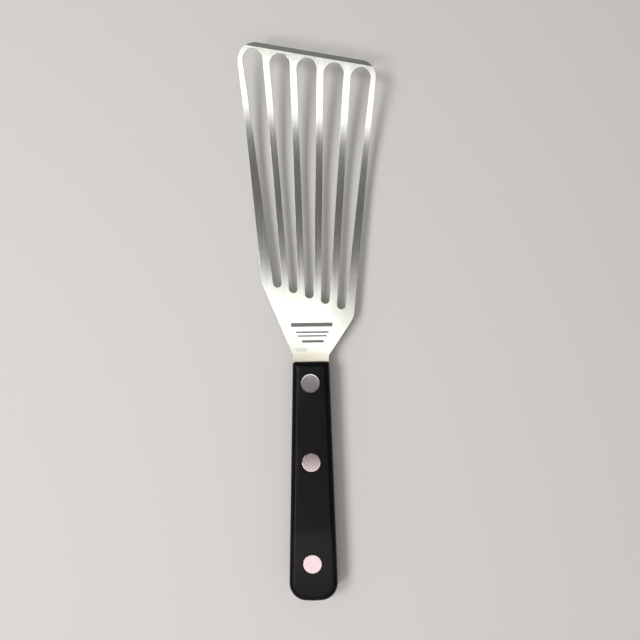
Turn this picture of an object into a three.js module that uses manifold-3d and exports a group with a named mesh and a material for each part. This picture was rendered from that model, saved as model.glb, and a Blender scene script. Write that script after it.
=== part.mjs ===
// A slotted chef's turner: one stamped stainless sheet with a slanted, turned-up front and five tapered
// slots, whose full tang lies between two handle scales held by three two-piece rivets.
//
// Millimetres, +Z up. It lies on its handle's flat underside, with the blade's tip towards +Y. The pieces are
// drawn with y = 0 at the handle's front and x = 0 on the handle's axis, and the whole group is then moved so
// that the origin is at the middle of its box, on the surface that it lies on.

import * as THREE from "three";
import { mergeVertices } from "three/addons/utils/BufferGeometryUtils.js";
import Module from "manifold-3d";

const wasm = await Module();
wasm.setup();

// Driving dimensions

const sheet = 1.2; // thickness of the blade and its tang
const handleThickness = 16;
const handleLength = 130.7;
const neckHalfWidth = 10; // the tang, the scales and the neck are equally wide at the handle's front
const handleRearHalfWidth = 13.5; // the taper's half width, carried on to the handle's end
const handleRearCorner = 9.5; // radius of its rear corners
const handleRearBulge = 0.6; // how far the middle of its end stands out
const handleEdge = 2.4; // radius of the scales' eased outer edges

const neckLength = 3.25; // straight part of the neck, ahead of the handle
const neckFillet = 1.5;
const leftShoulder = new THREE.Vector2(-26.75, 43.45); // where the flare meets the long side
const rightShoulder = new THREE.Vector2(24.15, 24.2);
const shoulderRadius = 11;
const leftTip = new THREE.Vector2(-38.7, 175.1); // the front corners before they are rounded
const rightTip = new THREE.Vector2(37.95, 161.14);
const leftTipRadius = 9.4;
const rightTipRadius = 8.9;

const slotCount = 5;
const slotFront = { x: -0.3, y: 159.1, radius: 5.43, pitchX: 14.6, pitchY: -2.7 }; // the middle slot's front end
const slotRear = { x: -0.45, y: 37.5, radius: 2.4, pitchX: 8.83, pitchY: -3.13 }; // and its rear end

const rollStart = 78; // how far behind the front edge the sheet starts to turn up
const rollRadius = 250; // to the sheet's underside
const bevelWidth = 2.2; // ground strip along the front edge's upper side
const edgeThickness = 0.35; // what the bevel leaves of the sheet at the edge

const rivets = [
  { name: "front", y: -11.45 },
  { name: "middle", y: -54.55 },
  { name: "rear", y: -109.95 },
];
const rivetLine = -0.5; // X of the rivets, a little to the left of the handle's axis
const headRadius = 5;
const headThickness = 2.4;
const tubeRadius = 2.6;
const postRadius = 1.8;
const tubeTop = 11.4; // height that the socket's tube reaches
const postFoot = 3.4; // height that the post reaches down to
const boreFloor = 2.6; // bottom of the socket's blind bore

const fitGap = 0.05; // clearance between touching pieces

// Derived heights and directions

const tangBottom = (handleThickness - sheet) / 2;
const tangTop = tangBottom + sheet;
const slant = Math.atan2(leftTip.y - rightTip.y, rightTip.x - leftTip.x); // front edge against the X axis
const acrossRolls = new THREE.Vector3(Math.sin(slant), Math.cos(slant), 0); // square to the front edge
const frontReach = leftTip.x * acrossRolls.x + leftTip.y * acrossRolls.y; // to the front edge

const roundSteps = 32; // facets in a full circle
const farAway = 200; // well outside the object

// Outlines

// Points of an arc about a centre, counter-clockwise from one angle to another.
function arcPoints(centre, radius, from, to) {
  const steps = Math.max(2, Math.round(((to - from) / (2 * Math.PI)) * roundSteps));
  const points = [];
  for (let i = 0; i <= steps; i++) {
    const angle = from + ((to - from) * i) / steps;
    points.push(new THREE.Vector2(Math.cos(angle), Math.sin(angle)).multiplyScalar(radius).add(centre));
  }
  return points;
}

// A polygon given counter-clockwise, with each corner { at, radius } rounded by an arc of its radius.
function roundedOutline(corners) {
  const points = [];
  corners.forEach(({ at, radius = 0 }, i) => {
    if (radius === 0) {
      points.push(at.clone());
      return;
    }
    const before = corners[(i + corners.length - 1) % corners.length].at;
    const after = corners[(i + 1) % corners.length].at;
    const back = before.clone().sub(at).normalize();
    const ahead = after.clone().sub(at).normalize();
    const halfAngle = Math.acos(back.dot(ahead)) / 2;
    const middle = back.clone().add(ahead).normalize();
    const centre = middle.multiplyScalar(radius / Math.sin(halfAngle)).add(at);
    const turn = Math.sign(ahead.cross(back)); // 1 at an outward corner, -1 at an inward one
    const from = Math.atan2(-back.x * turn, back.y * turn) + Math.PI;
    const sweep = Math.PI - 2 * halfAngle;
    const arc = turn > 0
      ? arcPoints(centre, radius, from, from + sweep)
      : arcPoints(centre, radius, from - sweep, from).reverse();
    points.push(...arc);
  });
  return points;
}

// The round-ended slot that two circles and their outer tangents make.
function slotOutline(front, rear) {
  const along = front.at.clone().sub(rear.at);
  const heading = Math.atan2(along.y, along.x);
  const taper = Math.asin((front.radius - rear.radius) / along.length());
  const quarter = Math.PI / 2;
  return [
    ...arcPoints(front.at, front.radius, heading - quarter - taper, heading + quarter + taper),
    ...arcPoints(rear.at, rear.radius, heading + quarter + taper, heading + 3 * quarter - taper),
  ];
}

// The handle's rear end, from its right side to its left: two round corners and a slightly bulged end.
function handleRearCorners() {
  return [
    { at: new THREE.Vector2(-handleRearHalfWidth, -handleLength + handleRearBulge), radius: handleRearCorner },
    { at: new THREE.Vector2(0, -handleLength) },
    { at: new THREE.Vector2(handleRearHalfWidth, -handleLength + handleRearBulge), radius: handleRearCorner },
  ];
}

function bladeOutline() {
  return roundedOutline([
    { at: leftTip, radius: leftTipRadius },
    { at: leftShoulder, radius: shoulderRadius },
    { at: new THREE.Vector2(-neckHalfWidth, neckLength), radius: neckFillet },
    { at: new THREE.Vector2(-neckHalfWidth, 0) },
    ...handleRearCorners(),
    { at: new THREE.Vector2(neckHalfWidth, 0) },
    { at: new THREE.Vector2(neckHalfWidth, neckLength), radius: neckFillet },
    { at: rightShoulder, radius: shoulderRadius },
    { at: rightTip, radius: rightTipRadius },
  ]);
}

function scaleOutline() {
  return roundedOutline([
    { at: new THREE.Vector2(-neckHalfWidth, 0) },
    ...handleRearCorners(),
    { at: new THREE.Vector2(neckHalfWidth, 0) },
  ]);
}

function slotOutlines() {
  return Array.from({ length: slotCount }, (_, i) => {
    const place = i - (slotCount - 1) / 2;
    const [front, rear] = [slotFront, slotRear].map((end) => ({
      at: new THREE.Vector2(end.x + place * end.pitchX, end.y + place * end.pitchY),
      radius: end.radius,
    }));
    return slotOutline(front, rear);
  });
}

// Solids

function toSolid(geometry) {
  const bare = geometry.index ? geometry.toNonIndexed() : geometry.clone();
  bare.deleteAttribute("normal");
  bare.deleteAttribute("uv");
  const merged = mergeVertices(bare, 1e-4);
  return new wasm.Manifold(new wasm.Mesh({
    numProp: 3,
    vertProperties: merged.attributes.position.array,
    triVerts: merged.index.array,
  }));
}

function toGeometry(solid) {
  const { vertProperties, triVerts } = solid.getMesh();
  const geometry = new THREE.BufferGeometry();
  geometry.setAttribute("position", new THREE.BufferAttribute(vertProperties, 3));
  geometry.setIndex(new THREE.BufferAttribute(triVerts, 1));
  return geometry;
}

// A plan outline raised from one height to another.
function prism(outline, holes, bottom, top) {
  const shape = new THREE.Shape(outline);
  shape.holes = holes.map((points) => new THREE.Path(points));
  const geometry = new THREE.ExtrudeGeometry(shape, { depth: top - bottom, bevelEnabled: false });
  return toSolid(geometry.translate(0, 0, bottom));
}

// A round piece or cutter standing on a rivet's axis, from its [radius, height] profile, bottom first.
function turned(profile, y) {
  const geometry = new THREE.LatheGeometry(profile.map(([r, z]) => new THREE.Vector2(r, z)), roundSteps);
  return toSolid(geometry.rotateX(Math.PI / 2).translate(rivetLine, y, 0));
}

function drum(radius, bottom, top, y) {
  return turned([[0, bottom], [radius, bottom], [radius, top], [0, top]], y);
}

// The sheet seen along its front edge: flat, then turned up about the roll radius, and ground at its tip.
// It is far wider than the blade, and the plan outline cuts it to shape.
function rolledSheet() {
  const start = frontReach - rollStart;
  const rollSteps = 14;
  const underside = [new THREE.Vector2(-farAway, tangBottom)];
  const upperside = [new THREE.Vector2(-farAway, tangTop)];
  const place = (reach, height) => { // a point above the underside, at a distance from the handle's front
    const angle = Math.asin(Math.max(0, reach - start) / rollRadius);
    const bottom = new THREE.Vector2(reach, tangBottom + rollRadius * (1 - Math.cos(angle)));
    return bottom.add(new THREE.Vector2(-Math.sin(angle), Math.cos(angle)).multiplyScalar(height));
  };
  for (let i = 0; i <= rollSteps; i++) {
    const reach = start + (rollStart * i) / rollSteps;
    underside.push(place(reach, 0));
    if (frontReach - reach > bevelWidth) upperside.push(place(reach, sheet));
  }
  upperside.push(place(frontReach - bevelWidth, sheet), place(frontReach, edgeThickness));
  const section = new THREE.Shape([...underside, ...upperside.reverse()]);
  const geometry = new THREE.ExtrudeGeometry(section, { depth: 2 * farAway, bevelEnabled: false });
  geometry.translate(0, 0, -farAway);
  const up = new THREE.Vector3(0, 0, 1);
  const alongRolls = new THREE.Vector3().crossVectors(acrossRolls, up);
  geometry.applyMatrix4(new THREE.Matrix4().makeBasis(acrossRolls, up, alongRolls));
  return toSolid(geometry);
}

function bladeSolid() {
  const rivetHoles = rivets.map(({ y }) =>
    arcPoints(new THREE.Vector2(rivetLine, y), tubeRadius + fitGap, 0, 2 * Math.PI).slice(1));
  const plan = prism(bladeOutline(), [...slotOutlines(), ...rivetHoles], -1, 2 * handleThickness);
  return rolledSheet().intersect(plan);
}

// Both scales come from one blank with eased edges, parted by the tang and bored for the rivets.
function scaleSolid(bottom, top) {
  const blank = new THREE.ExtrudeGeometry(new THREE.Shape(scaleOutline()), {
    depth: handleThickness - 2 * handleEdge,
    bevelThickness: handleEdge,
    bevelSize: handleEdge,
    bevelOffset: -handleEdge,
    bevelSegments: 4,
  });
  const half = new THREE.BoxGeometry(farAway, 2 * farAway, top - bottom);
  let solid = toSolid(blank.translate(0, 0, handleEdge));
  solid = solid.intersect(toSolid(half.translate(0, 0, (bottom + top) / 2)));
  const sink = headThickness + fitGap;
  for (const { y } of rivets) {
    solid = solid
      .subtract(drum(tubeRadius + fitGap, -1, handleThickness + 1, y))
      .subtract(drum(headRadius + fitGap, -1, sink, y))
      .subtract(drum(headRadius + fitGap, handleThickness - sink, handleThickness + 1, y));
  }
  return solid;
}

// The upper half of a rivet: a wide flat head, flush with the top scale, on a solid post.
function postSolid(y) {
  return turned([
    [0, postFoot],
    [postRadius, postFoot],
    [postRadius, handleThickness - headThickness],
    [headRadius, handleThickness - headThickness],
    [headRadius, handleThickness],
    [0, handleThickness],
  ], y);
}

// The lower half: the same head on a tube that takes the post.
function socketSolid(y) {
  return turned([
    [0, 0],
    [headRadius, 0],
    [headRadius, headThickness],
    [tubeRadius, headThickness],
    [tubeRadius, tubeTop],
    [postRadius + fitGap, tubeTop],
    [postRadius + fitGap, boreFloor],
    [0, boreFloor],
  ], y);
}

// Assembly

const steel = { color: 0xc6c5bf, metalness: 1, roughness: 0.32 };
const blackScale = { color: 0x1c1c1e, metalness: 0, roughness: 0.45 };
const rivetMetal = { color: 0xb9b2b3, metalness: 1, roughness: 0.4 };

function piece(name, solid, finish) {
  const mesh = new THREE.Mesh(toGeometry(solid), new THREE.MeshStandardMaterial(finish));
  mesh.name = name;
  return mesh;
}

const turner = new THREE.Group();
turner.add(
  piece("blade", bladeSolid(), steel),
  piece("top_scale", scaleSolid(tangTop + fitGap, handleThickness), blackScale),
  piece("bottom_scale", scaleSolid(0, tangBottom - fitGap), blackScale),
);
for (const { name, y } of rivets) {
  turner.add(
    piece(`${name}_rivet_post`, postSolid(y), rivetMetal),
    piece(`${name}_rivet_socket`, socketSolid(y), rivetMetal),
  );
}

const box = new THREE.Box3().setFromObject(turner);
const middle = box.getCenter(new THREE.Vector3());
turner.position.set(-middle.x, -middle.y, -box.min.z);

export default turner;
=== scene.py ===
import math

import bmesh
import bpy
from mathutils import Matrix, Vector


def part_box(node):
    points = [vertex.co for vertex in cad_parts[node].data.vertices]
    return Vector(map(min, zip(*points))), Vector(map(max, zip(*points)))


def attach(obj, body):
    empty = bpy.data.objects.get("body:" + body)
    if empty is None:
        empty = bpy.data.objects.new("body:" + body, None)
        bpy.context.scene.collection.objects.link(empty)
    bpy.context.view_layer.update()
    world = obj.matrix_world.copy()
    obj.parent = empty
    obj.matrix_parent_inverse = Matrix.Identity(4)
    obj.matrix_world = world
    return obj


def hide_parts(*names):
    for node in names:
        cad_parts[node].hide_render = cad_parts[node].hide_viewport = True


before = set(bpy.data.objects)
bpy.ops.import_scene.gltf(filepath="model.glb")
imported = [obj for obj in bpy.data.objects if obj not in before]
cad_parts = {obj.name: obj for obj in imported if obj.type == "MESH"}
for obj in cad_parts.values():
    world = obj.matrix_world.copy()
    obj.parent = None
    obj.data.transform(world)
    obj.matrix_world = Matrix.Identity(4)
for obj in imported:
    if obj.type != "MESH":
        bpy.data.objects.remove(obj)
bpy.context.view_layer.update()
mm = 0.001
weld = 1e-6  # points closer than this are one

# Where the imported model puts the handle. Every outline below is drawn in millimetres from the handle's
# front, on its axis, and row() carries a point from there to the shared frame.
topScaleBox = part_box("top_scale")
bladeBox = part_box("blade")
rivetNames = ["front", "middle", "rear"]
rivetBoxes = {name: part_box(f"{name}_rivet_post") for name in rivetNames}
axisX = (topScaleBox[0].x + topScaleBox[1].x) / 2
frontY = topScaleBox[1].y
handleTop = topScaleBox[1].z / mm
handleLength = (topScaleBox[1].y - topScaleBox[0].y) / mm
sheetUnderside = bladeBox[0].z / mm
rivetPlaces = {name: (((low.x + high.x) / 2 - axisX) / mm, ((low.y + high.y) / 2 - frontY) / mm)
               for name, (low, high) in rivetBoxes.items()}
print("frame: handle", round(handleLength, 1), "long,", round(handleTop, 1), "thick")


def row(x, y, z=0.0):
    return Vector((axisX + x * mm, frontY + y * mm, z * mm))


def plug(tree, socket, value):
    if isinstance(value, Wire):
        tree.links.new(value.socket, socket)
    else:
        socket.default_value = value


class Wire:  # one socket of a tree; sums on wires add Math nodes to it
    def __init__(self, tree, socket):
        self.tree = tree
        self.socket = socket

    def math(self, operation, *values):
        node = self.tree.nodes.new("ShaderNodeMath")
        node.operation = operation
        for socket, value in zip(node.inputs, values):
            plug(self.tree, socket, value)
        return Wire(self.tree, node.outputs[0])

    def __add__(self, other):
        return self.math("ADD", self, other)

    def __radd__(self, other):
        return self.math("ADD", other, self)

    def __sub__(self, other):
        return self.math("SUBTRACT", self, other)

    def __rsub__(self, other):
        return self.math("SUBTRACT", other, self)

    def __mul__(self, other):
        return self.math("MULTIPLY", self, other)

    def __rmul__(self, other):
        return self.math("MULTIPLY", other, self)

    def __truediv__(self, other):
        return self.math("DIVIDE", self, other)

    def __rtruediv__(self, other):
        return self.math("DIVIDE", other, self)

    def __neg__(self):
        return self.math("MULTIPLY", self, -1.0)

    def __abs__(self):
        return self.math("ABSOLUTE", self)

    def above(self, other):  # 1 where this is greater
        return self.math("GREATER_THAN", self, other)

    def rise(self, start, end):  # 0 at start, 1 at end, eased between
        node = self.tree.nodes.new("ShaderNodeMapRange")
        node.interpolation_type = "SMOOTHSTEP"
        for name, value in (("Value", self), ("From Min", start), ("From Max", end)):
            plug(self.tree, node.inputs[name], value)
        return Wire(self.tree, node.outputs[0])


class Bench:  # adds nodes to one tree
    def __init__(self, tree):
        self.tree = tree

    def add(self, kind, settings=None, sockets=None, out=0):
        node = self.tree.nodes.new(kind)
        for name, value in (settings or {}).items():
            setattr(node, name, value)
        for name, value in (sockets or {}).items():
            plug(self.tree, node.inputs[name], value)
        return Wire(self.tree, node.outputs[out]) if len(node.outputs) else None

    def parts(self, vector):
        node = self.tree.nodes.new("ShaderNodeSeparateXYZ")
        plug(self.tree, node.inputs[0], vector)
        return [Wire(self.tree, socket) for socket in node.outputs]

    def vector(self, x=0.0, y=0.0, z=0.0):
        return self.add("ShaderNodeCombineXYZ", sockets={0: x, 1: y, 2: z})

    def vectors(self, operation, a, b):
        return self.add("ShaderNodeVectorMath", {"operation": operation}, {0: a, 1: b})

    def scaled(self, vector, factor):
        return self.add("ShaderNodeVectorMath", {"operation": "SCALE"}, {0: vector, "Scale": factor})

    def blend(self, factor, a, b):  # of colours
        return self.add("ShaderNodeMix", {"data_type": "RGBA"}, {0: factor, 6: a, 7: b}, out=2)

    def join(self, *geometries):
        joined = self.add("GeometryNodeJoinGeometry")
        for geometry in geometries:
            self.tree.links.new(geometry.socket, joined.socket.node.inputs[0])
        return joined

    def close(self, geometry, finish):  # the end of a geometry tree
        real = self.add("GeometryNodeRealizeInstances", sockets={"Geometry": geometry})
        dressed = self.add("GeometryNodeSetMaterial", sockets={"Geometry": real, "Material": finish})
        self.add("NodeGroupOutput", sockets={"Geometry": dressed})
        return self.tree


def growingTree(name, wanted):  # an empty geometry tree with named inputs
    tree = bpy.data.node_groups.new(name, "GeometryNodeTree")
    for label, kind in wanted.items():
        tree.interface.new_socket(name=label, in_out="INPUT", socket_type="NodeSocket" + kind)
    tree.interface.new_socket(name="Geometry", in_out="OUTPUT", socket_type="NodeSocketGeometry")
    given = {s.name: Wire(tree, s) for s in tree.nodes.new("NodeGroupInput").outputs if s.name}
    return Bench(tree), given


def grow(name, tree, values):  # runs a tree and keeps its result as a plain mesh
    seed = bpy.data.objects.new(name, bpy.data.meshes.new(name))
    bpy.context.scene.collection.objects.link(seed)
    modifier = seed.modifiers.new("grow", "NODES")
    modifier.node_group = tree
    for item in tree.interface.items_tree:
        if item.in_out == "INPUT":
            modifier[item.identifier] = values[item.name]
    return harden(seed)


def harden(seed):  # modifiers become mesh
    bpy.context.view_layer.update()
    graph = bpy.context.evaluated_depsgraph_get()
    mesh = bpy.data.meshes.new_from_object(seed.evaluated_get(graph), depsgraph=graph)
    seed.modifiers.clear()
    seed.data = mesh
    return seed


def polish(piece, sharpAngle):  # smooth faces that keep flat areas flat, and crisp edges above an angle
    piece.data.shade_smooth()
    piece.data.set_sharp_from_angle(angle=math.radians(sharpAngle))
    weigh = piece.modifiers.new("weigh", "WEIGHTED_NORMAL")
    weigh.mode = "FACE_AREA"
    weigh.weight = 90
    weigh.keep_sharp = True
    return harden(piece)


def tally(piece):
    mesh = piece.data
    volume = bmesh.new()
    volume.from_mesh(mesh)
    openEdges = sum(1 for edge in volume.edges if not edge.is_manifold)
    print(f"{piece.name}: {len(mesh.polygons)} faces, {openEdges} open edges, "
          f"{volume.calc_volume(signed=True) / mm ** 3:.0f} mm3")
    volume.free()


def outlinePoints(corners, inset, straightStep, arcStep, shares=None):
    # Corners are (x, y, radius), counter-clockwise. Every inset gives the same number of points.
    # A share scales the inset of the side that leaves its corner.
    spots = [Vector(corner[:2]) for corner in corners]
    shares = shares or [1.0] * len(corners)
    points = []
    for i, (at, (_, _, radius)) in enumerate(zip(spots, corners)):
        after = spots[(i + 1) % len(spots)]
        insetA, insetB = inset * shares[i - 1], inset * shares[i]
        arriving = (at - spots[i - 1]).normalized()
        leaving = (after - at).normalized()
        outwardA = Vector((arriving.y, -arriving.x))
        outwardB = Vector((leaving.y, -leaving.x))
        turn = math.atan2(arriving.cross(leaving), arriving.dot(leaving))
        side = 1 if turn > 0 else -1
        steps = max(1, round(math.degrees(abs(turn)) / arcStep)) if radius else 0
        rounding = max(0.0, radius - side * inset) if radius else 0.0
        spread = outwardA.cross(outwardB)
        corner = at - Vector((insetA * outwardB.y - insetB * outwardA.y,
                              insetB * outwardA.x - insetA * outwardB.x)) / spread
        centre = corner - arriving * (rounding * math.tan(abs(turn) / 2)) - outwardA * (side * rounding)
        for k in range(steps + 1):
            spoke = Matrix.Rotation(turn * k / max(1, steps), 2) @ outwardA
            points.append(centre + spoke * (side * rounding))
        points.append((after - at).length)  # the straight that follows, filled in below
    return fillStraights(points, straightStep)


def fillStraights(points, step):
    filled = []
    for i, point in enumerate(points):
        if isinstance(point, Vector):
            filled.append(point)
            continue
        start, end = points[i - 1], points[(i + 1) % len(points)]
        cuts = max(1, round(point / step))
        filled += [start.lerp(end, k / cuts) for k in range(1, cuts)]
    return filled


def circlePoints(x, y, radius, count):
    angles = [2 * math.pi * k / count for k in range(count)]
    return [Vector((x + radius * math.cos(angle), y + radius * math.sin(angle))) for angle in angles]


def loopCurve(name, loops, closed=True):  # flat lines for a tree to read, in metres
    curve = bpy.data.curves.new(name, "CURVE")
    curve.dimensions = "3D"
    for loop in loops:
        spline = curve.splines.new("POLY")
        spline.points.add(len(loop) - 1)
        for point, at in zip(spline.points, loop):
            point.co = (at[0] * mm, at[1] * mm, 0.0, 1.0)
        spline.use_cyclic_u = closed
    line = bpy.data.objects.new(name, curve)
    bpy.context.scene.collection.objects.link(line)
    return line


handle = {
    "frontHalfWidth": 10.0,
    "rearHalfWidth": 13.5,
    "frontCorner": 1.2,
    "rearCorner": 9.5,
    "rearBulge": 0.6,
    "edge": 3.1,  # width of the rounded outer edges
    "edgeDepth": 2.9,
    "edgeTurn": 64.0,  # where the round meets the flat face in a soft crease
    "frontEdgeShare": 0.75,  # of it across the front end
    "seamBreak": 0.15,  # where a scale meets the tang
    "gapToTang": 0.05,
    "counterbore": 5.06,
    "counterboreDepth": 2.45,
    "rivetHole": 2.65,
    "holeBreak": 0.12,
    "straightStep": 3.0,  # millimetres between points on the straights
    "arcStep": 5.0,  # degrees between points round the corners
    "edgeSteps": 9,
    "holeSteps": 96,
    "sharpAngle": 40,
}


def handleCorners(frontCorner):
    rear = -handleLength + handle["rearBulge"]
    front, back = handle["frontHalfWidth"], handle["rearHalfWidth"]
    return [
        (-front, 0, frontCorner),
        (-back, rear, handle["rearCorner"]),
        (0, -handleLength, 0),
        (back, rear, handle["rearCorner"]),
        (front, 0, frontCorner),
    ]


def stackLoops(work, layers):  # a wall through outlines that each have a height
    loops = [[work.verts.new(row(point.x, point.y, z)) for point in points] for points, z in layers]
    for lower, upper in zip(loops, loops[1:]):
        for i in range(len(lower)):
            work.faces.new((lower[i - 1], lower[i], upper[i], upper[i - 1]))


def capAt(work, height):  # fills the open edges at a height with a flat face, holes left open
    edges = [edge for edge in work.edges
             if edge.is_boundary and all(abs(v.co.z - height * mm) < weld for v in edge.verts)]
    bmesh.ops.triangle_fill(work, use_beauty=True, edges=edges)


def makeScale(name, seam, face):  # heights where it meets the tang and where its flat face is
    away = 1 if face > seam else -1
    seamBreak = handle["seamBreak"]
    lastTurn = math.radians(handle["edgeTurn"])
    profile = [(seamBreak, seam), (0.0, seam + away * seamBreak)]
    for k in range(handle["edgeSteps"] + 1):
        angle = lastTurn * k / handle["edgeSteps"]
        inset = handle["edge"] * (1 - math.cos(angle)) / (1 - math.cos(lastTurn))
        drop = handle["edgeDepth"] * (1 - math.sin(angle) / math.sin(lastTurn))
        profile.append((inset, face - away * drop))
    corners = handleCorners(handle["frontCorner"])
    shares = [1.0] * (len(corners) - 1) + [handle["frontEdgeShare"]]
    layers = [(outlinePoints(corners, inset, handle["straightStep"], handle["arcStep"], shares), z)
              for inset, z in profile]
    work = bmesh.new()
    stackLoops(work, layers)
    sink, bore, lip = handle["counterbore"], handle["rivetHole"], handle["holeBreak"]
    floor = face - away * handle["counterboreDepth"]
    steps = [(bore, seam), (bore, floor), (sink, floor), (sink, face - away * lip), (sink + lip, face)]
    for x, y in rivetPlaces.values():
        stackLoops(work, [(circlePoints(x, y, radius, handle["holeSteps"]), z) for radius, z in steps])
    bmesh.ops.remove_doubles(work, verts=work.verts, dist=weld)
    capAt(work, seam)
    capAt(work, face)
    bmesh.ops.recalc_face_normals(work, faces=work.faces)
    mesh = bpy.data.meshes.new(name)
    work.to_mesh(mesh)
    work.free()
    piece = bpy.data.objects.new(name, mesh)
    bpy.context.scene.collection.objects.link(piece)
    polish(piece, handle["sharpAngle"])
    tally(piece)
    return piece


blade = {
    "sheet": 1.2,
    "edgeRound": 0.12,
    "neckLength": 3.25,
    "neckFillet": 1.5,
    "leftShoulder": (-26.75, 43.45),
    "rightShoulder": (24.15, 24.2),
    "shoulderRadius": 11.0,
    "leftTip": (-38.7, 175.1),
    "leftTipRadius": 9.4,
    "rightTip": (37.95, 161.14),
    "rightTipRadius": 8.9,
    "slots": 5,
    "slotFront": (-0.3, 159.1),
    "slotFrontPitch": (14.6, -2.7),
    "slotFrontRadius": 5.43,
    "slotRear": (-0.45, 37.5),
    "slotRearPitch": (8.83, -3.13),
    "slotRearRadius": 2.4,
    "rollStart": 78.0,  # behind the front edge
    "rollRadius": 250.0,
    "bevelWidth": 2.2,
    "edgeThickness": 0.35,
    "rivetHole": 2.65,
    "straightStep": 2.0,
    "arcStep": 5.0,
    "edgeSteps": 6,
    "holeSteps": 48,
    "sideCuts": 60,  # along each side of a slot
    "sharpAngle": 17,
}
leftTip, rightTip = blade["leftTip"], blade["rightTip"]
slant = math.atan2(leftTip[1] - rightTip[1], rightTip[0] - leftTip[0])
frontReach = leftTip[0] * math.sin(slant) + leftTip[1] * math.cos(slant)  # square to the front edge


def bladeCorners():
    neck = handle["frontHalfWidth"]
    return [
        (*blade["leftTip"], blade["leftTipRadius"]),
        (*blade["leftShoulder"], blade["shoulderRadius"]),
        (-neck, blade["neckLength"], blade["neckFillet"]),
        *handleCorners(0),
        (neck, blade["neckLength"], blade["neckFillet"]),
        (*blade["rightShoulder"], blade["shoulderRadius"]),
        (*blade["rightTip"], blade["rightTipRadius"]),
    ]


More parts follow.
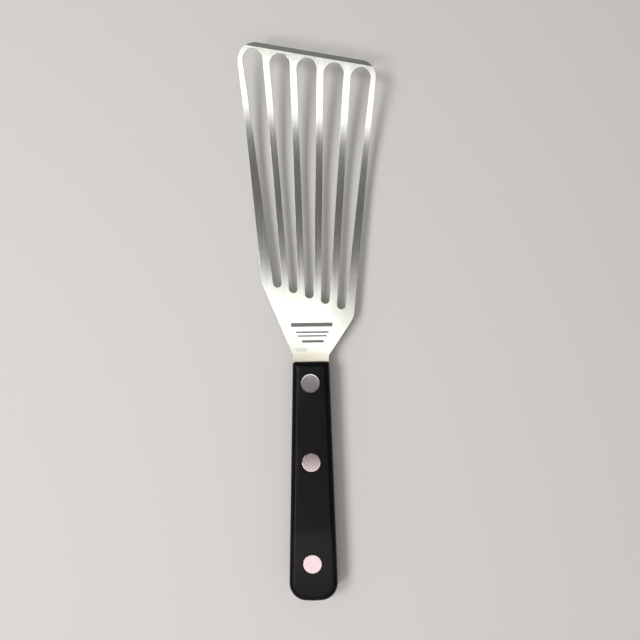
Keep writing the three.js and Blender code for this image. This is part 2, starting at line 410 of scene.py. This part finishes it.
def slottedSheetTree():
    bench, given = growingTree("slottedSheet", {
        "Blank": "Object", "Edge section": "Object", "Place": "Vector",
        "Slots": "Int", "Front end": "Vector", "Front pitch": "Vector", "Front radius": "Float",
        "Rear end": "Vector", "Rear pitch": "Vector", "Rear radius": "Float", "Side cuts": "Int",
        "Sheet": "Float", "Edge round": "Float", "Slant": "Float", "Front reach": "Float",
        "Bevel width": "Float", "Edge thickness": "Float",
        "Roll start": "Float", "Roll radius": "Float", "Finish": "Material",
    })
    blank, section = (bench.add("GeometryNodeObjectInfo", sockets={"Object": given[label]}, out="Geometry")
                      for label in ("Blank", "Edge section"))

    # each slot: two arcs about its ends, joined by their common tangents
    around = 72
    half = around / 2
    ring = bench.add("GeometryNodeCurvePrimitiveCircle", {"mode": "RADIUS"},
                     {"Resolution": around, "Radius": 1.0})
    rings = bench.add("GeometryNodeDuplicateElements", {"domain": "SPLINE"},
                      {"Geometry": ring, "Amount": given["Slots"]})
    copy = Wire(bench.tree, rings.socket.node.outputs["Duplicate Index"])
    place = copy - (given["Slots"] - 1) / 2
    frontEnd = bench.vectors("ADD", given["Front end"], bench.scaled(given["Front pitch"], place))
    rearEnd = bench.vectors("ADD", given["Rear end"], bench.scaled(given["Rear pitch"], place))
    span = bench.vectors("SUBTRACT", frontEnd, rearEnd)
    length = bench.add("ShaderNodeVectorMath", {"operation": "LENGTH"}, {0: span}, out="Value")
    spanX, spanY, _ = bench.parts(span)
    alongX, alongY = spanX / length, spanY / length
    taper = (given["Front radius"] - given["Rear radius"]) / length
    step = bench.add("GeometryNodeInputIndex")
    step = step.math("MODULO", step, around)
    isRear = step.above(half - 0.5)
    isFront = 1 - isRear
    share = (step - isRear * half) / (half - 1)
    lean = taper.math("ARCSINE", taper)
    angle = (isFront * (share * (lean * 2 + math.pi) - lean)
             + isRear * (lean + math.pi + share * (math.pi - lean * 2)))
    radius = isFront * given["Front radius"] + isRear * given["Rear radius"]
    across, along = angle.math("COSINE", angle) * radius, angle.math("SINE", angle) * radius
    frontEndX, frontEndY, _ = bench.parts(frontEnd)
    rearEndX, rearEndY, _ = bench.parts(rearEnd)
    slotX = isFront * frontEndX + isRear * rearEndX + across * alongY + along * alongX
    slotY = isFront * frontEndY + isRear * rearEndY - across * alongX + along * alongY
    slots = bench.add("GeometryNodeSetPosition", sockets={
        "Geometry": rings, "Position": bench.vector(slotX, slotY)})
    slots = bench.add("GeometryNodeReverseCurve", sockets={"Curve": slots})
    index = bench.add("GeometryNodeInputIndex")
    index = index.math("MODULO", index, half)
    isSide = index.above(half - 1.5)
    slots = bench.add("GeometryNodeSubdivideCurve", sockets={
        "Curve": slots, "Cuts": isSide * given["Side cuts"]})

    # all the sheet's edges, swept with the eased edge section, and filled above and below
    lines = bench.join(blank, slots)
    lines = bench.add("GeometryNodeSetCurveNormal", {"mode": "Z_UP"}, {"Curve": lines})
    rim = bench.add("GeometryNodeCurveToMesh", sockets={"Curve": lines, "Profile Curve": section})
    inward = bench.scaled(bench.add("GeometryNodeInputNormal"), -given["Edge round"])
    inner = bench.add("GeometryNodeSetPosition", sockets={"Geometry": lines, "Offset": inward})
    under = bench.add("GeometryNodeFillCurve", {"mode": "TRIANGLES"}, {"Curve": inner})
    over = bench.add("GeometryNodeTransform", sockets={
        "Geometry": under, "Translation": bench.vector(z=given["Sheet"])})
    under = bench.add("GeometryNodeFlipFaces", sockets={"Mesh": under})
    sheet = bench.join(rim, under, over)
    sheet = bench.add("GeometryNodeMergeByDistance", sockets={"Geometry": sheet, "Distance": 2 * weld})

    # the front edge is ground: a block whose underside is the bevel is taken away
    depth = given["Sheet"] - given["Edge thickness"]
    pitch = depth.math("ARCTAN2", depth, given["Bevel width"])
    sine, cosine = pitch.math("SINE", pitch), pitch.math("COSINE", pitch)
    blockHalf, blockLength = 0.01, 0.4
    ahead = blockHalf * 0.9  # the block's middle is this far up the bevel from the crease
    reach = given["Front reach"] - given["Bevel width"] + cosine * ahead + sine * blockHalf
    height = given["Sheet"] + cosine * blockHalf - sine * ahead
    sineSlant, cosineSlant = (given["Slant"].math(name, given["Slant"]) for name in ("SINE", "COSINE"))
    block = bench.add("GeometryNodeMeshCube", sockets={"Size": (blockLength, 2 * blockHalf, 2 * blockHalf)})
    block = bench.add("GeometryNodeTransform", sockets={
        "Geometry": block,
        "Translation": bench.vector(reach * sineSlant, reach * cosineSlant, height),
        "Rotation": bench.vector(-pitch, 0.0, -given["Slant"])})
    sheet = bench.add("GeometryNodeMeshBoolean", {"operation": "DIFFERENCE", "solver": "MANIFOLD"},
                      {"Mesh 1": sheet, "Mesh 2": block})

    # the front is rolled upwards about an axis parallel to the front edge
    x, y, z = bench.parts(bench.add("GeometryNodeInputPosition"))
    reach = x * sineSlant + y * cosineSlant
    past = reach - (given["Front reach"] - given["Roll start"])
    past = past.math("MAXIMUM", past, 0.0) / given["Roll radius"]
    bend = past.math("ARCSINE", past)
    sine, cosine = bend.math("SINE", bend), bend.math("COSINE", bend)
    back = -(sine * z)
    lifted = given["Roll radius"] * (1 - cosine) + cosine * z
    rolled = bench.vector(x + back * sineSlant, y + back * cosineSlant, lifted)
    sheet = bench.add("GeometryNodeSetPosition", sockets={"Geometry": sheet, "Position": rolled})
    sheet = bench.add("GeometryNodeTransform", sockets={"Geometry": sheet, "Translation": given["Place"]})
    return bench.close(sheet, given["Finish"])


def edgeSection():  # across the sheet's edge: x is outwards, y is downwards
    sheet, r = blade["sheet"], blade["edgeRound"]
    angles = [math.radians(90 * k / blade["edgeSteps"]) for k in range(blade["edgeSteps"] + 1)]
    upper = [Vector((-r + r * math.sin(angle), -sheet + r - r * math.cos(angle))) for angle in angles]
    lower = [Vector((-r + r * math.cos(angle), -r + r * math.sin(angle))) for angle in angles]
    return upper + lower


def smoothSheet(mesh):
    # The broad sides take the rolled surface's own normals, so light runs evenly along them.
    closeEnough = math.cos(math.radians(5))
    normals = [corner.vector.copy() for corner in mesh.corner_normals]
    across = Vector((math.sin(slant), math.cos(slant), 0.0))
    flatEnd = frontReach - blade["rollStart"]
    for face in mesh.polygons:
        side = math.copysign(1, face.normal.z)
        for corner in face.loop_indices:
            at = mesh.vertices[mesh.loops[corner].vertex_index].co
            reach = (at - row(0, 0)).dot(across) / mm
            sine = max(0.0, reach - flatEnd) / blade["rollRadius"]
            surface = side * (Vector((0, 0, math.sqrt(1 - sine * sine))) - across * sine)
            if face.normal.dot(surface) > closeEnough:
                normals[corner] = surface
    mesh.normals_split_custom_set(normals)


def inMetres(name):  # one of the blade's sizes or places
    value = blade[name]
    return (value[0] * mm, value[1] * mm, 0.0) if isinstance(value, tuple) else value * mm


def makeBlade(finish):
    outline = outlinePoints(bladeCorners(), 0.0, blade["straightStep"], blade["arcStep"])
    holes = [circlePoints(x, y, blade["rivetHole"], blade["holeSteps"])[::-1]
             for x, y in rivetPlaces.values()]
    blank = loopCurve("bladeBlank", [outline, *holes])
    section = loopCurve("edgeSection", [edgeSection()], closed=False)
    piece = grow("turner_blade", slottedSheetTree(), {
        "Blank": blank,
        "Edge section": section,
        "Place": row(0, 0, sheetUnderside),
        "Slots": blade["slots"],
        "Front end": inMetres("slotFront"),
        "Front pitch": inMetres("slotFrontPitch"),
        "Front radius": inMetres("slotFrontRadius"),
        "Rear end": inMetres("slotRear"),
        "Rear pitch": inMetres("slotRearPitch"),
        "Rear radius": inMetres("slotRearRadius"),
        "Side cuts": blade["sideCuts"],
        "Sheet": inMetres("sheet"),
        "Edge round": inMetres("edgeRound"),
        "Slant": slant,
        "Front reach": frontReach * mm,
        "Bevel width": inMetres("bevelWidth"),
        "Edge thickness": inMetres("edgeThickness"),
        "Roll start": inMetres("rollStart"),
        "Roll radius": inMetres("rollRadius"),
        "Finish": finish,
    })
    for helper in (blank, section):
        bpy.data.objects.remove(helper)
    polish(piece, blade["sharpAngle"])
    smoothSheet(piece.data)
    tally(piece)
    return piece


rivet = {
    "head": 5.0,
    "headThickness": 2.4,
    "rim": 0.05,
    "tube": 2.6,
    "post": 1.8,
    "tubeTop": 11.4,
    "postFoot": 3.4,
    "boreFloor": 2.6,
    "fit": 0.05,
    "break": 0.15,  # on the tube's end
    "underBreak": 0.1,  # under the head
    "footBreak": 0.2,  # on the post's end
    "rimSteps": 6,
    "segments": 96,
    "sharpAngle": 35,
}


def turnedTree():
    bench, given = growingTree("turnedPiece", {
        "Profile": "Object", "Segments": "Int", "Place": "Vector", "Finish": "Material"})
    profile = bench.add("GeometryNodeObjectInfo", sockets={"Object": given["Profile"]}, out="Geometry")
    rows = bench.add("GeometryNodeAttributeDomainSize", {"component": "CURVE"}, {"Geometry": profile})
    grid = bench.add("GeometryNodeMeshGrid", sockets={
        "Size X": 1.0, "Size Y": 1.0, "Vertices X": given["Segments"] + 1, "Vertices Y": rows})
    index = bench.add("GeometryNodeInputIndex")
    column = index / rows
    column = column.math("FLOOR", column)
    step = index - column * rows
    at = bench.add("GeometryNodeSampleIndex", {"data_type": "FLOAT_VECTOR", "domain": "POINT"},
                   {"Geometry": profile, "Value": bench.add("GeometryNodeInputPosition"), "Index": step})
    radius, height, _ = bench.parts(at)
    angle = column * (2 * math.pi) / given["Segments"]
    cosine, sine = angle.math("COSINE", angle), angle.math("SINE", angle)
    turned = bench.vector(cosine * radius, sine * radius, height)
    piece = bench.add("GeometryNodeSetPosition", sockets={
        "Geometry": grid, "Position": bench.vectors("ADD", turned, given["Place"])})
    piece = bench.add("GeometryNodeMergeByDistance", sockets={"Geometry": piece, "Distance": weld})
    return bench.close(piece, given["Finish"])


def headProfile(face, away):  # from the head's underside to the middle of its face; away is up or down
    r, rim, thick, under = rivet["head"], rivet["rim"], rivet["headThickness"], rivet["underBreak"]
    points = [(r - under, face - away * thick), (r, face - away * (thick - under))]
    for k in range(rivet["rimSteps"] + 1):
        angle = math.radians(90 * k / rivet["rimSteps"])
        points.append((r - rim * (1 - math.cos(angle)), face - away * rim * (1 - math.sin(angle))))
    return points + [(r * share, face) for share in (0.9, 0.5, 0.0)]


def makeRivetHalf(name, tree, place, profile, finish):
    line = loopCurve("profile", [profile], closed=False)
    piece = grow(name, tree, {
        "Profile": line, "Segments": rivet["segments"], "Place": row(*place), "Finish": finish})
    bpy.data.objects.remove(line)
    polish(piece, rivet["sharpAngle"])
    tally(piece)
    return piece


def postProfile():
    post, foot, broken = rivet["post"], rivet["postFoot"], rivet["footBreak"]
    return [(0.0, foot), (post - broken, foot), (post, foot + broken),
            (post, handleTop - rivet["headThickness"]), *headProfile(handleTop, 1)]


def socketProfile():
    tube, top, bore = rivet["tube"], rivet["tubeTop"], rivet["post"] + rivet["fit"]
    floor, broken = rivet["boreFloor"], rivet["break"]
    profile = [(0.0, floor), (bore, floor), (bore, top - broken), (bore + broken, top),
               (tube - broken, top), (tube, top - broken), (tube, rivet["headThickness"]),
               *headProfile(0.0, -1)]
    return profile[::-1]  # so that the faces point outwards


def newFinish(name):
    finish = bpy.data.materials.new(name)
    finish.use_nodes = True
    finish.node_tree.nodes.clear()
    bench = Bench(finish.node_tree)
    shader = bench.add("ShaderNodeBsdfPrincipled")
    bench.add("ShaderNodeOutputMaterial", sockets={"Surface": shader})
    return finish, bench, shader.socket.node


def paint(bench, shader, sockets):
    for name, value in sockets.items():
        plug(bench.tree, shader.inputs[name], value)


def handleCoordinates(bench):  # millimetres from the handle's front, on its axis
    at = bench.add("ShaderNodeTexCoord", out="Object")
    x, y, z = bench.parts(bench.scaled(bench.vectors("SUBTRACT", at, tuple(row(0, 0))), 1 / mm))
    return bench.vector(x, y), x, y, z


def grain(bench, at, sizes, detail=3.0, roughness=0.55, offset=(0.0, 0.0, 0.0), turn=0.0):
    # noise with one feature size for each direction, in millimetres
    placed = bench.add("ShaderNodeMapping", {"vector_type": "POINT"}, {
        "Vector": at, "Location": offset, "Rotation": (0.0, 0.0, turn),
        "Scale": tuple(1 / size for size in sizes)})
    return bench.add("ShaderNodeTexNoise", {"noise_dimensions": "3D"}, {
        "Vector": placed, "Scale": 1.0, "Detail": detail, "Roughness": roughness})


def bumps(bench, strength, depth, height):  # depth in millimetres
    return bench.add("ShaderNodeBump", sockets={
        "Strength": strength, "Distance": depth * mm, "Height": height})


steel = {
    "light": (0.645, 0.65, 0.60, 1),
    "dark": (0.55, 0.555, 0.51, 1),
    # a dull tone for the random mottle, also used as painted shade on the web's right side
    "dull_and_shade": (0.38, 0.385, 0.34, 1),
    "ground": (0.40, 0.395, 0.375, 1),
    "stain": (0.62, 0.54, 0.36, 1),
    "etch": (0.11, 0.11, 0.11, 1),
    "roughness": 0.172,
    "wornRoughness": 0.145,
    "wornFrom": (85, 125),
    "groundRoughness": 0.42,
    "groundAbove": 8,  # the bevel is higher than this over the flat of the blade
    "etchRoughness": 0.55,
    "fineGrain": (0.16, 30.0, 0.16),
    "broadGrain": (0.9, 70.0, 0.9),
    "crossGrain": (18.0, 0.14, 0.4),  # on the bevel
    "cloud": (22.0, 30.0, 22.0),
    "wander": (4.0, 3.0, 4.0),
    "mottle": (2.5, 3.5, 2.5),
    "mottleFrom": (138, 156),
    "grainDepth": 0.008,
}
steelMarks = {  # ragged ovals: middle, half sizes, raggedness, and where they fade
    "heatTint": ((0.5, 1.0), (13.0, 5.0), 1.6, (0.1, 1.2)),
    "smear": ((-5.0, 6.5), (4.0, 1.2), 2.0, (0.2, 1.4)),
    # painted shade: darkens the web's right side, where the light falls off
    "right_web_shade": ((25.0, 30.0), (16.0, 20.0), 0.5, (-0.1, 1.1)),
}
etchedRules = [  # middle x, middle y, length, width
    (0.6, 20.4, 23.0, 2.1),
    (0.9, 16.3, 18.0, 0.85),
    (0.9, 14.2, 16.0, 0.75),
    (1.2, 11.2, 12.0, 1.3),
]


def markAt(x, y, wander, mark):
    (middleX, middleY), (halfX, halfY), ragged, fade = steelMarks[mark]
    across, along = (x - middleX) / halfX, (y - middleY) / halfY
    return 1 - (across * across + along * along + (wander - 0.5) * ragged).rise(*fade)


def stripe(value, middle, wide):  # 1 within a width, 0 outside
    soft = 0.1
    return 1 - abs(value - middle).rise(wide / 2 - soft, wide / 2 + soft)


def makeSteel():
    finish, bench, shader = newFinish("brushed_blade_steel")
    at, x, y, z = handleCoordinates(bench)
    fine = grain(bench, at, steel["fineGrain"], detail=2.0)
    broad = grain(bench, at, steel["broadGrain"], offset=(3.0, 1.0, 0.0))
    cloud = grain(bench, at, steel["cloud"], offset=(7.0, 2.0, 5.0))
    crossGrain = grain(bench, at, steel["crossGrain"], detail=2.0, turn=slant)
    wander = grain(bench, at, steel["wander"], detail=4.0, offset=(1.0, 9.0, 4.0))
    mottle = grain(bench, at, steel["mottle"], detail=4.0, offset=(6.0, 3.0, 2.0)).rise(0.42, 0.68)

    # the bevel's face
    reach = x * math.sin(slant) + y * math.cos(slant)
    crease = frontReach - blade["bevelWidth"] - 0.02
    ground = reach.above(crease) * z.above(sheetUnderside + steel["groundAbove"])

    streaks = (fine * 0.45 + broad * 0.55).rise(0.3, 0.7)
    colour = bench.blend(streaks, steel["dark"], steel["light"])
    colour = bench.blend(cloud.rise(0.42, 0.7) * 0.25, colour, steel["dark"])

    # heat tint and a thumb smear just ahead of the handle, painted shade on the web's right side beside the
    # slots, a mottled front
    smear = markAt(x, y, wander, "smear")
    colour = bench.blend(markAt(x, y, wander, "heatTint") * 0.5, colour, steel["stain"])
    colour = bench.blend(smear * 0.25, colour, steel["dark"])
    # painted shade darkens the web's right side; a random mottle dulls the front
    dull_and_shade = markAt(x, y, wander, "right_web_shade") * 0.8 + mottle * y.rise(*steel["mottleFrom"]) * 0.3
    colour = bench.blend(dull_and_shade, colour, steel["dull_and_shade"])

    # plain etched rules on the upper side
    etched = None
    for middleX, middleY, long, wide in etchedRules:
        rule = stripe(x, middleX, long) * stripe(y, middleY, wide)
        etched = rule if etched is None else etched.math("MAXIMUM", etched, rule)
    etched = etched * z.above(sheetUnderside + blade["sheet"] / 2)
    colour = bench.blend(etched * 0.8, colour, steel["etch"])

    groundTone = bench.blend(crossGrain.rise(0.35, 0.65), steel["ground"], steel["dark"])
    colour = bench.blend(ground, colour, groundTone)
    rough = steel["roughness"] + (steel["wornRoughness"] - steel["roughness"]) * y.rise(*steel["wornFrom"])
    rough = rough + (streaks - 0.5) * 0.04 + smear * 0.06 + (cloud - 0.5) * 0.04
    rough = rough * (1 - ground) + ground * (steel["groundRoughness"] + (crossGrain - 0.5) * 0.15)
    rough = rough * (1 - etched) + etched * steel["etchRoughness"]
    lines = (fine * 0.6 + broad * 0.4) * (1 - ground) + crossGrain * ground
    bump = bumps(bench, 0.5, steel["grainDepth"], lines)
    paint(bench, shader, {"Base Color": colour, "Metallic": 1.0, "Roughness": rough, "Normal": bump})
    return finish


scalePlastic = {
    "black": (0.002, 0.002, 0.0022, 1),
    "worn": (0.006, 0.0057, 0.006, 1),
    "painted_sheen": (0.016, 0.0152, 0.016, 1),  # painted reflection: a lighter band on the top face toward the rear
    "roughness": 0.33,
    "sheen": 0.15,
    "cloud": (9.0, 16.0, 9.0),
    "scratch": (0.12, 9.0, 0.12),
    "pore": (0.25, 0.25, 0.25),
    "sheenFrom": (86, 99),  # behind the handle's front
    "sheenFade": (108, 128),
    "poreDepth": 0.02,
}


def makeScaleFinish():
    finish, bench, shader = newFinish("black_satin_scale")
    at, _, y, z = handleCoordinates(bench)
    cloud = grain(bench, at, scalePlastic["cloud"], detail=4.0, offset=(2.0, 5.0, 1.0))
    scratches = grain(bench, at, scalePlastic["scratch"], detail=2.0, offset=(1.0, 3.0, 7.0)).rise(0.62, 0.72)
    pores = grain(bench, at, scalePlastic["pore"], detail=2.0)
    wear = cloud.rise(0.35, 0.75) * 0.5 + scratches * 0.25
    colour = bench.blend(wear, scalePlastic["black"], scalePlastic["worn"])
    back = -y
    # painted reflection: a lighter band across the top face toward the rear, fading further back
    sheenBand = back.rise(*scalePlastic["sheenFrom"]) * (1 - back.rise(*scalePlastic["sheenFade"]) * 0.5)
    sheenBand = sheenBand * z.above(handleTop - 0.5)
    colour = bench.blend(sheenBand * (0.6 + cloud * 0.4), colour, scalePlastic["painted_sheen"])
    rough = scalePlastic["roughness"] + (cloud - 0.5) * 0.2 + scratches * 0.06
    bump = bumps(bench, 0.4, scalePlastic["poreDepth"], pores * 0.6 + scratches * 0.3)
    paint(bench, shader, {
        "Base Color": colour, "Roughness": rough, "Normal": bump,
        "Specular IOR Level": scalePlastic["sheen"]})
    return finish


rivetMetal = {
    "light": (0.69, 0.64, 0.645, 1),
    "dark": (0.52, 0.485, 0.49, 1),
    "roughness": 0.12,
    "swirl": (0.6, 0.6, 0.6),
    "hatch": (0.12, 3.0, 0.12),
    "hatchTurn": 0.6,
    "scratchDepth": 0.02,
}


def makeRivetFinish():
    finish, bench, shader = newFinish("ground_rivet_metal")
    at, *_ = handleCoordinates(bench)
    swirl = grain(bench, at, rivetMetal["swirl"], detail=4.0, roughness=0.7)
    hatch = grain(bench, at, rivetMetal["hatch"], detail=2.0, turn=rivetMetal["hatchTurn"])
    tone = (swirl * 0.65 + hatch * 0.35).rise(0.38, 0.6)
    colour = bench.blend(tone, rivetMetal["dark"], rivetMetal["light"])
    rough = rivetMetal["roughness"] + (tone - 0.5) * 0.1
    bump = bumps(bench, 0.4, rivetMetal["scratchDepth"], swirl * 0.4 + hatch * 0.6)
    paint(bench, shader, {"Base Color": colour, "Metallic": 1.0, "Roughness": rough, "Normal": bump})
    return finish


steelFinish = makeSteel()
scaleFinish = makeScaleFinish()
rivetFinish = makeRivetFinish()

bladePiece = makeBlade(steelFinish)
tangTop = sheetUnderside + blade["sheet"]
topScale = makeScale("handle_scale_top", tangTop + handle["gapToTang"], handleTop)
bottomScale = makeScale("handle_scale_bottom", sheetUnderside - handle["gapToTang"], 0.0)
for piece in (topScale, bottomScale):
    piece.data.materials.append(scaleFinish)
print("blade and scales made")

placed = [(bladePiece, "blade", "blade_steel"), (topScale, "top_scale", "handle_scale"),
          (bottomScale, "bottom_scale", "handle_scale")]
turned = turnedTree()
for name, place in rivetPlaces.items():
    for half, profile in (("post", postProfile()), ("socket", socketProfile())):
        piece = makeRivetHalf(f"rivet_{half}_{name}", turned, place, profile, rivetFinish)
        placed.append((piece, f"{name}_rivet_{half}", "rivet_metal"))
print("rivets made")

for piece, node, slotName in placed:
    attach(piece, "root")
    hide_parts(node)


studio = {
    "floor": (0.86, 0.85, 0.83, 1),
    "floorRoughness": 0.7,
    "floorHalf": 12.0,
    "zenith": 0.18,
    "horizon": 0.3,
    "skyFade": (0.3, 0.93),
    "sky": (1, 0.99, 0.97, 1),
}
lamps = {  # metres, and radiance
    "overhead_panel": {"place": (-0.33, 0.053, 0.8), "aim": (-0.33, 0.053, 0.0), "size": (0.9, 0.118),
                       "radiance": 1.85, "colour": (1, 1, 1), "turn": -10.0},
    "rear_panel": {"place": (0.0, -0.386, 0.8), "aim": (0.0, -0.386, 0.0), "size": (0.7, 0.29),
                   "radiance": 1.12, "colour": (1.0, 0.82, 0.84), "turn": 0.0},
    "left_key": {"place": (-0.9, 0.1, 1.6), "aim": (0.0, 0.0, 0.0), "size": (0.54, 0.54),
                 "radiance": 7.0, "colour": (1.0, 0.98, 0.96), "turn": 0.0},
    "edge_strip": {"place": (-0.72, -0.52, 1.3), "aim": (0.0, -0.09, 0.016), "size": (0.16, 0.5),
                   "radiance": 14.0, "colour": (1, 1, 1), "turn": 0.0},
}
overhead = {  # millimetres from the handle's front, and degrees
    "ahead": 22.96,
    "aside": 5.24,
    "height": 398.0,
    "lean": -0.71,
    "angle": 49.0,
}


def makeFloor():
    finish, bench, shader = newFinish("pale_floor")
    paint(bench, shader, {"Base Color": studio["floor"], "Roughness": studio["floorRoughness"]})
    half = studio["floorHalf"]
    corners = [(-half, -half, 0), (half, -half, 0), (half, half, 0), (-half, half, 0)]
    mesh = bpy.data.meshes.new("floor")
    mesh.from_pydata(corners, [], [(0, 1, 2, 3)])
    mesh.materials.append(finish)
    floor = bpy.data.objects.new("floor", mesh)
    bpy.context.scene.collection.objects.link(floor)


def hangLamp(name, lamp):
    light = bpy.data.lights.new(name, "AREA")
    light.shape = "RECTANGLE"
    wide, long = lamp["size"]
    light.size, light.size_y = wide, long
    light.energy = lamp["radiance"] * 4 * wide * long
    light.color = lamp["colour"]
    holder = bpy.data.objects.new(name, light)
    bpy.context.scene.collection.objects.link(holder)
    holder.location = lamp["place"]
    holder.rotation_mode = "QUATERNION"
    look = (Vector(lamp["aim"]) - Vector(lamp["place"])).to_track_quat("-Z", "Y")
    turn = Matrix.Rotation(math.radians(lamp["turn"]), 3, "Z").to_quaternion()
    holder.rotation_quaternion = turn @ look


def makeLight():
    world = bpy.data.worlds.new("studio")
    bpy.context.scene.world = world
    world.use_nodes = True
    world.node_tree.nodes.clear()
    bench = Bench(world.node_tree)
    _, _, up = bench.parts(bench.add("ShaderNodeTexCoord", out="Generated"))
    strength = studio["horizon"] + (studio["zenith"] - studio["horizon"]) * up.rise(*studio["skyFade"])
    glow = bench.add("ShaderNodeBackground", sockets={"Color": studio["sky"], "Strength": strength})
    bench.add("ShaderNodeOutputWorld", sockets={"Surface": glow})
    for name, lamp in lamps.items():
        hangLamp(name, lamp)


def makeCamera():
    camera = bpy.data.cameras.new("overhead")
    camera.sensor_width = 36.0
    camera.lens = camera.sensor_width / 2 / math.tan(math.radians(overhead["angle"] / 2))
    camera.clip_start = 0.01
    holder = bpy.data.objects.new("overhead", camera)
    bpy.context.scene.collection.objects.link(holder)
    holder.location = row(overhead["aside"], overhead["ahead"], overhead["height"])
    holder.rotation_euler = (0.0, 0.0, math.radians(overhead["lean"]))
    bpy.context.scene.camera = holder


makeFloor()
makeLight()
makeCamera()
bpy.context.scene.view_settings.view_transform = "Standard"
print("stage set")
